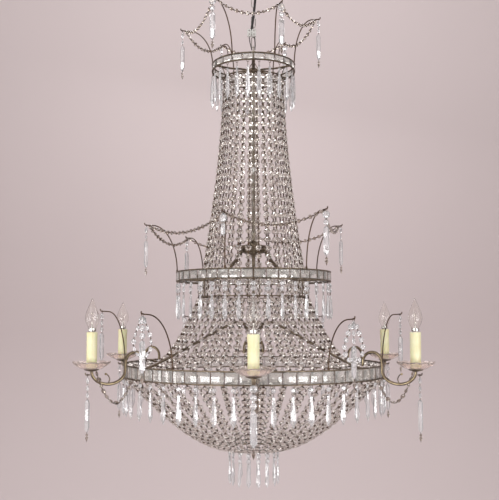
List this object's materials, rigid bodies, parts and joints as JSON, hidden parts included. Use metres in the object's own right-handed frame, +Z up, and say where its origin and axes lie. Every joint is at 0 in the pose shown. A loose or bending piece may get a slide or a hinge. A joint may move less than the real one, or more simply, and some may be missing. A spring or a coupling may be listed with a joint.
{
  "type": "crystal chandelier",
  "caption": "Basket chandelier: crowned neck of bead strands over a waist ring, a wide main ring with candle arms and a shallow bead bowl, hung with cut prisms.",
  "frame": {"origin": "middle of the hanging loop's upper bore, which takes the ceiling hook", "axes": "+Z up along the stem, the pictured front towards -Y, +X to the right"},
  "size_m": [0.874, 0.998, 1.4052],
  "materials": {
    "bulb_glass": "clear",
    "candle_cream": "satin",
    "crystal": "clear, cut",
    "dish_glass": "clear, faintly pink",
    "flex_black": "matt",
    "iron": "dark bronze, worn",
    "plaque_glass": "clear, bevelled",
    "socket": "matt",
    "steel": "plain",
    "white_block": "matt"
  },
  "bodies": {
    "hanging_ring": {"hanging_ring": "steel"},
    "chain": {"chain_links": "steel", "flex": "flex_black", "flex_clamp": "white_block", "terminal_block": "white_block"},
    "frame": {"bottom_prisms": "crystal", "bottom_ring": "iron", "bowl_strands": "crystal", "candle_arms": "iron", "candle_sleeves": "candle_cream", "crown_branches": "iron", "crown_plaques": "plaque_glass", "crown_prisms": "crystal", "crown_ring": "iron", "drip_dishes": "dish_glass", "garlands": "crystal", "lamp_sockets": "socket", "main_branches": "iron", "main_plaques": "plaque_glass", "main_prisms": "crystal", "main_ring": "iron", "neck_strands": "crystal", "stem": "iron", "stem_glass": "crystal", "tent_strands": "crystal", "turned_column": "iron", "waist_branches": "iron", "waist_plaques": "plaque_glass", "waist_prisms": "crystal", "waist_ring": "iron"},
    "bulb_back": {"bulb_back": "bulb_glass"},
    "bulb_back_left": {"bulb_back_left": "bulb_glass"},
    "bulb_back_right": {"bulb_back_right": "bulb_glass"},
    "bulb_front": {"bulb_front": "bulb_glass"},
    "bulb_front_left": {"bulb_front_left": "bulb_glass"},
    "bulb_front_right": {"bulb_front_right": "bulb_glass"},
    "crown_pendant_1": {"crown_pendant_1": "crystal"},
    "crown_pendant_2": {"crown_pendant_2": "crystal"},
    "crown_pendant_3": {"crown_pendant_3": "crystal"},
    "crown_pendant_4": {"crown_pendant_4": "crystal"},
    "crown_pendant_5": {"crown_pendant_5": "crystal"},
    "crown_pendant_6": {"crown_pendant_6": "crystal"},
    "dish_pendant_back": {"dish_pendant_back": "crystal"},
    "dish_pendant_back_left": {"dish_pendant_back_left": "crystal"},
    "dish_pendant_back_right": {"dish_pendant_back_right": "crystal"},
    "dish_pendant_front": {"dish_pendant_front": "crystal"},
    "dish_pendant_front_left": {"dish_pendant_front_left": "crystal"},
    "dish_pendant_front_right": {"dish_pendant_front_right": "crystal"},
    "ring_pendant_1": {"ring_pendant_1": "crystal"},
    "ring_pendant_2": {"ring_pendant_2": "crystal"},
    "ring_pendant_3": {"ring_pendant_3": "crystal"},
    "ring_pendant_4": {"ring_pendant_4": "crystal"},
    "ring_pendant_5": {"ring_pendant_5": "crystal"},
    "ring_pendant_6": {"ring_pendant_6": "crystal"},
    "waist_pendant_1": {"waist_pendant_1": "crystal"},
    "waist_pendant_2": {"waist_pendant_2": "crystal"},
    "waist_pendant_3": {"waist_pendant_3": "crystal"},
    "waist_pendant_4": {"waist_pendant_4": "crystal"},
    "waist_pendant_5": {"waist_pendant_5": "crystal"},
    "waist_pendant_6": {"waist_pendant_6": "crystal"}
  },
  "joints": [
    {"name": "chain_swing", "type": "hinge", "parent": "hanging_ring", "child": "chain", "pos_m": [0, 0, -0.0256], "axis": [0, 1, 0], "range_deg": [-10, 10]},
    {"name": "frame_swing", "type": "hinge", "parent": "chain", "child": "frame", "pos_m": [0, 0, -0.2026], "axis": [1, 0, 0], "range_deg": [-8, 8]},
    {"name": "bulb_back_unscrew", "type": "slide", "parent": "frame", "child": "bulb_back", "axis": [0, 0, 1], "range_m": [0, 0.03]},
    {"name": "bulb_back_left_unscrew", "type": "slide", "parent": "frame", "child": "bulb_back_left", "axis": [0, 0, 1], "range_m": [0, 0.03]},
    {"name": "bulb_back_right_unscrew", "type": "slide", "parent": "frame", "child": "bulb_back_right", "axis": [0, 0, 1], "range_m": [0, 0.03]},
    {"name": "bulb_front_unscrew", "type": "slide", "parent": "frame", "child": "bulb_front", "axis": [0, 0, 1], "range_m": [0, 0.03]},
    {"name": "bulb_front_left_unscrew", "type": "slide", "parent": "frame", "child": "bulb_front_left", "axis": [0, 0, 1], "range_m": [0, 0.03]},
    {"name": "bulb_front_right_unscrew", "type": "slide", "parent": "frame", "child": "bulb_front_right", "axis": [0, 0, 1], "range_m": [0, 0.03]},
    {"name": "crown_pendant_1_swing", "type": "hinge", "parent": "frame", "child": "crown_pendant_1", "pos_m": [-0.1045, -0.181, -0.1272], "axis": [-0.5, -0.866, 0], "range_deg": [-15, 15]},
    {"name": "crown_pendant_2_swing", "type": "hinge", "parent": "frame", "child": "crown_pendant_2", "pos_m": [0.0735, -0.12731, -0.1232], "axis": [0.5, -0.866, 0], "range_deg": [-15, 15]},
    {"name": "crown_pendant_3_swing", "type": "hinge", "parent": "frame", "child": "crown_pendant_3", "pos_m": [0.181, 0, -0.1212], "axis": [1, 0, 0], "range_deg": [-15, 15]},
    {"name": "crown_pendant_4_swing", "type": "hinge", "parent": "frame", "child": "crown_pendant_4", "pos_m": [0.0935, 0.16195, -0.1332], "axis": [0.5, 0.866, 0], "range_deg": [-15, 15]},
    {"name": "crown_pendant_5_swing", "type": "hinge", "parent": "frame", "child": "crown_pendant_5", "pos_m": [-0.0955, 0.16541, -0.1392], "axis": [-0.5, 0.866, 0], "range_deg": [-15, 15]},
    {"name": "crown_pendant_6_swing", "type": "hinge", "parent": "frame", "child": "crown_pendant_6", "pos_m": [-0.197, 0, -0.1532], "axis": [-1, 0, 0], "range_deg": [-15, 15]},
    {"name": "dish_pendant_back_swing", "type": "hinge", "parent": "frame", "child": "dish_pendant_back", "pos_m": [0, 0.45925, -1.0852], "axis": [0, 1, 0], "range_deg": [-15, 15]},
    {"name": "dish_pendant_back_left_swing", "type": "hinge", "parent": "frame", "child": "dish_pendant_back_left", "pos_m": [-0.39772, 0.22963, -1.0852], "axis": [-0.866, 0.5, 0], "range_deg": [-15, 15]},
    {"name": "dish_pendant_back_right_swing", "type": "hinge", "parent": "frame", "child": "dish_pendant_back_right", "pos_m": [0.39772, 0.22962, -1.0852], "axis": [0.866, 0.5, 0], "range_deg": [-15, 15]},
    {"name": "dish_pendant_front_swing", "type": "hinge", "parent": "frame", "child": "dish_pendant_front", "pos_m": [0, -0.45925, -1.0852], "axis": [0, -1, 0], "range_deg": [-15, 15]},
    {"name": "dish_pendant_front_left_swing", "type": "hinge", "parent": "frame", "child": "dish_pendant_front_left", "pos_m": [-0.39772, -0.22963, -1.0852], "axis": [-0.866, -0.5, 0], "range_deg": [-15, 15]},
    {"name": "dish_pendant_front_right_swing", "type": "hinge", "parent": "frame", "child": "dish_pendant_front_right", "pos_m": [0.39772, -0.22963, -1.0852], "axis": [0.866, -0.5, 0], "range_deg": [-15, 15]},
    {"name": "ring_pendant_1_swing", "type": "hinge", "parent": "frame", "child": "ring_pendant_1", "pos_m": [-0.24672, -0.37992, -0.9402], "axis": [-0.5446, -0.8387, 0], "range_deg": [-15, 15]},
    {"name": "ring_pendant_2_swing", "type": "hinge", "parent": "frame", "child": "ring_pendant_2", "pos_m": [0.2215, -0.38365, -0.9512], "axis": [0.5, -0.866, 0], "range_deg": [-15, 15]},
    {"name": "ring_pendant_3_swing", "type": "hinge", "parent": "frame", "child": "ring_pendant_3", "pos_m": [0.395, 0, -0.9392], "axis": [1, 0, 0], "range_deg": [-15, 15]},
    {"name": "ring_pendant_4_swing", "type": "hinge", "parent": "frame", "child": "ring_pendant_4", "pos_m": [0.2185, 0.37845, -0.9442], "axis": [0.5, 0.866, 0], "range_deg": [-15, 15]},
    {"name": "ring_pendant_5_swing", "type": "hinge", "parent": "frame", "child": "ring_pendant_5", "pos_m": [-0.2185, 0.37845, -0.9442], "axis": [-0.5, 0.866, 0], "range_deg": [-15, 15]},
    {"name": "ring_pendant_6_swing", "type": "hinge", "parent": "frame", "child": "ring_pendant_6", "pos_m": [-0.409, 0, -0.9312], "axis": [-1, 0, 0], "range_deg": [-15, 15]},
    {"name": "waist_pendant_1_swing", "type": "hinge", "parent": "frame", "child": "waist_pendant_1", "pos_m": [-0.0749, -0.20579, -0.6872], "axis": [-0.342, -0.9397, 0], "range_deg": [-15, 15]},
    {"name": "waist_pendant_2_swing", "type": "hinge", "parent": "frame", "child": "waist_pendant_2", "pos_m": [0.17869, -0.21296, -0.6822], "axis": [0.6428, -0.766, 0], "range_deg": [-15, 15]},
    {"name": "waist_pendant_3_swing", "type": "hinge", "parent": "frame", "child": "waist_pendant_3", "pos_m": [0.25375, 0.1465, -0.6832], "axis": [0.866, 0.5, 0], "range_deg": [-15, 15]},
    {"name": "waist_pendant_4_swing", "type": "hinge", "parent": "frame", "child": "waist_pendant_4", "pos_m": [0, 0.259, -0.6992], "axis": [0, 1, 0], "range_deg": [-15, 15]},
    {"name": "waist_pendant_5_swing", "type": "hinge", "parent": "frame", "child": "waist_pendant_5", "pos_m": [-0.19799, 0.19799, -0.7132], "axis": [-0.7071, 0.7071, 0], "range_deg": [-15, 15]},
    {"name": "waist_pendant_6_swing", "type": "hinge", "parent": "frame", "child": "waist_pendant_6", "pos_m": [-0.292, 0, -0.6972], "axis": [-1, 0, 0], "range_deg": [-15, 15]}
  ]
}
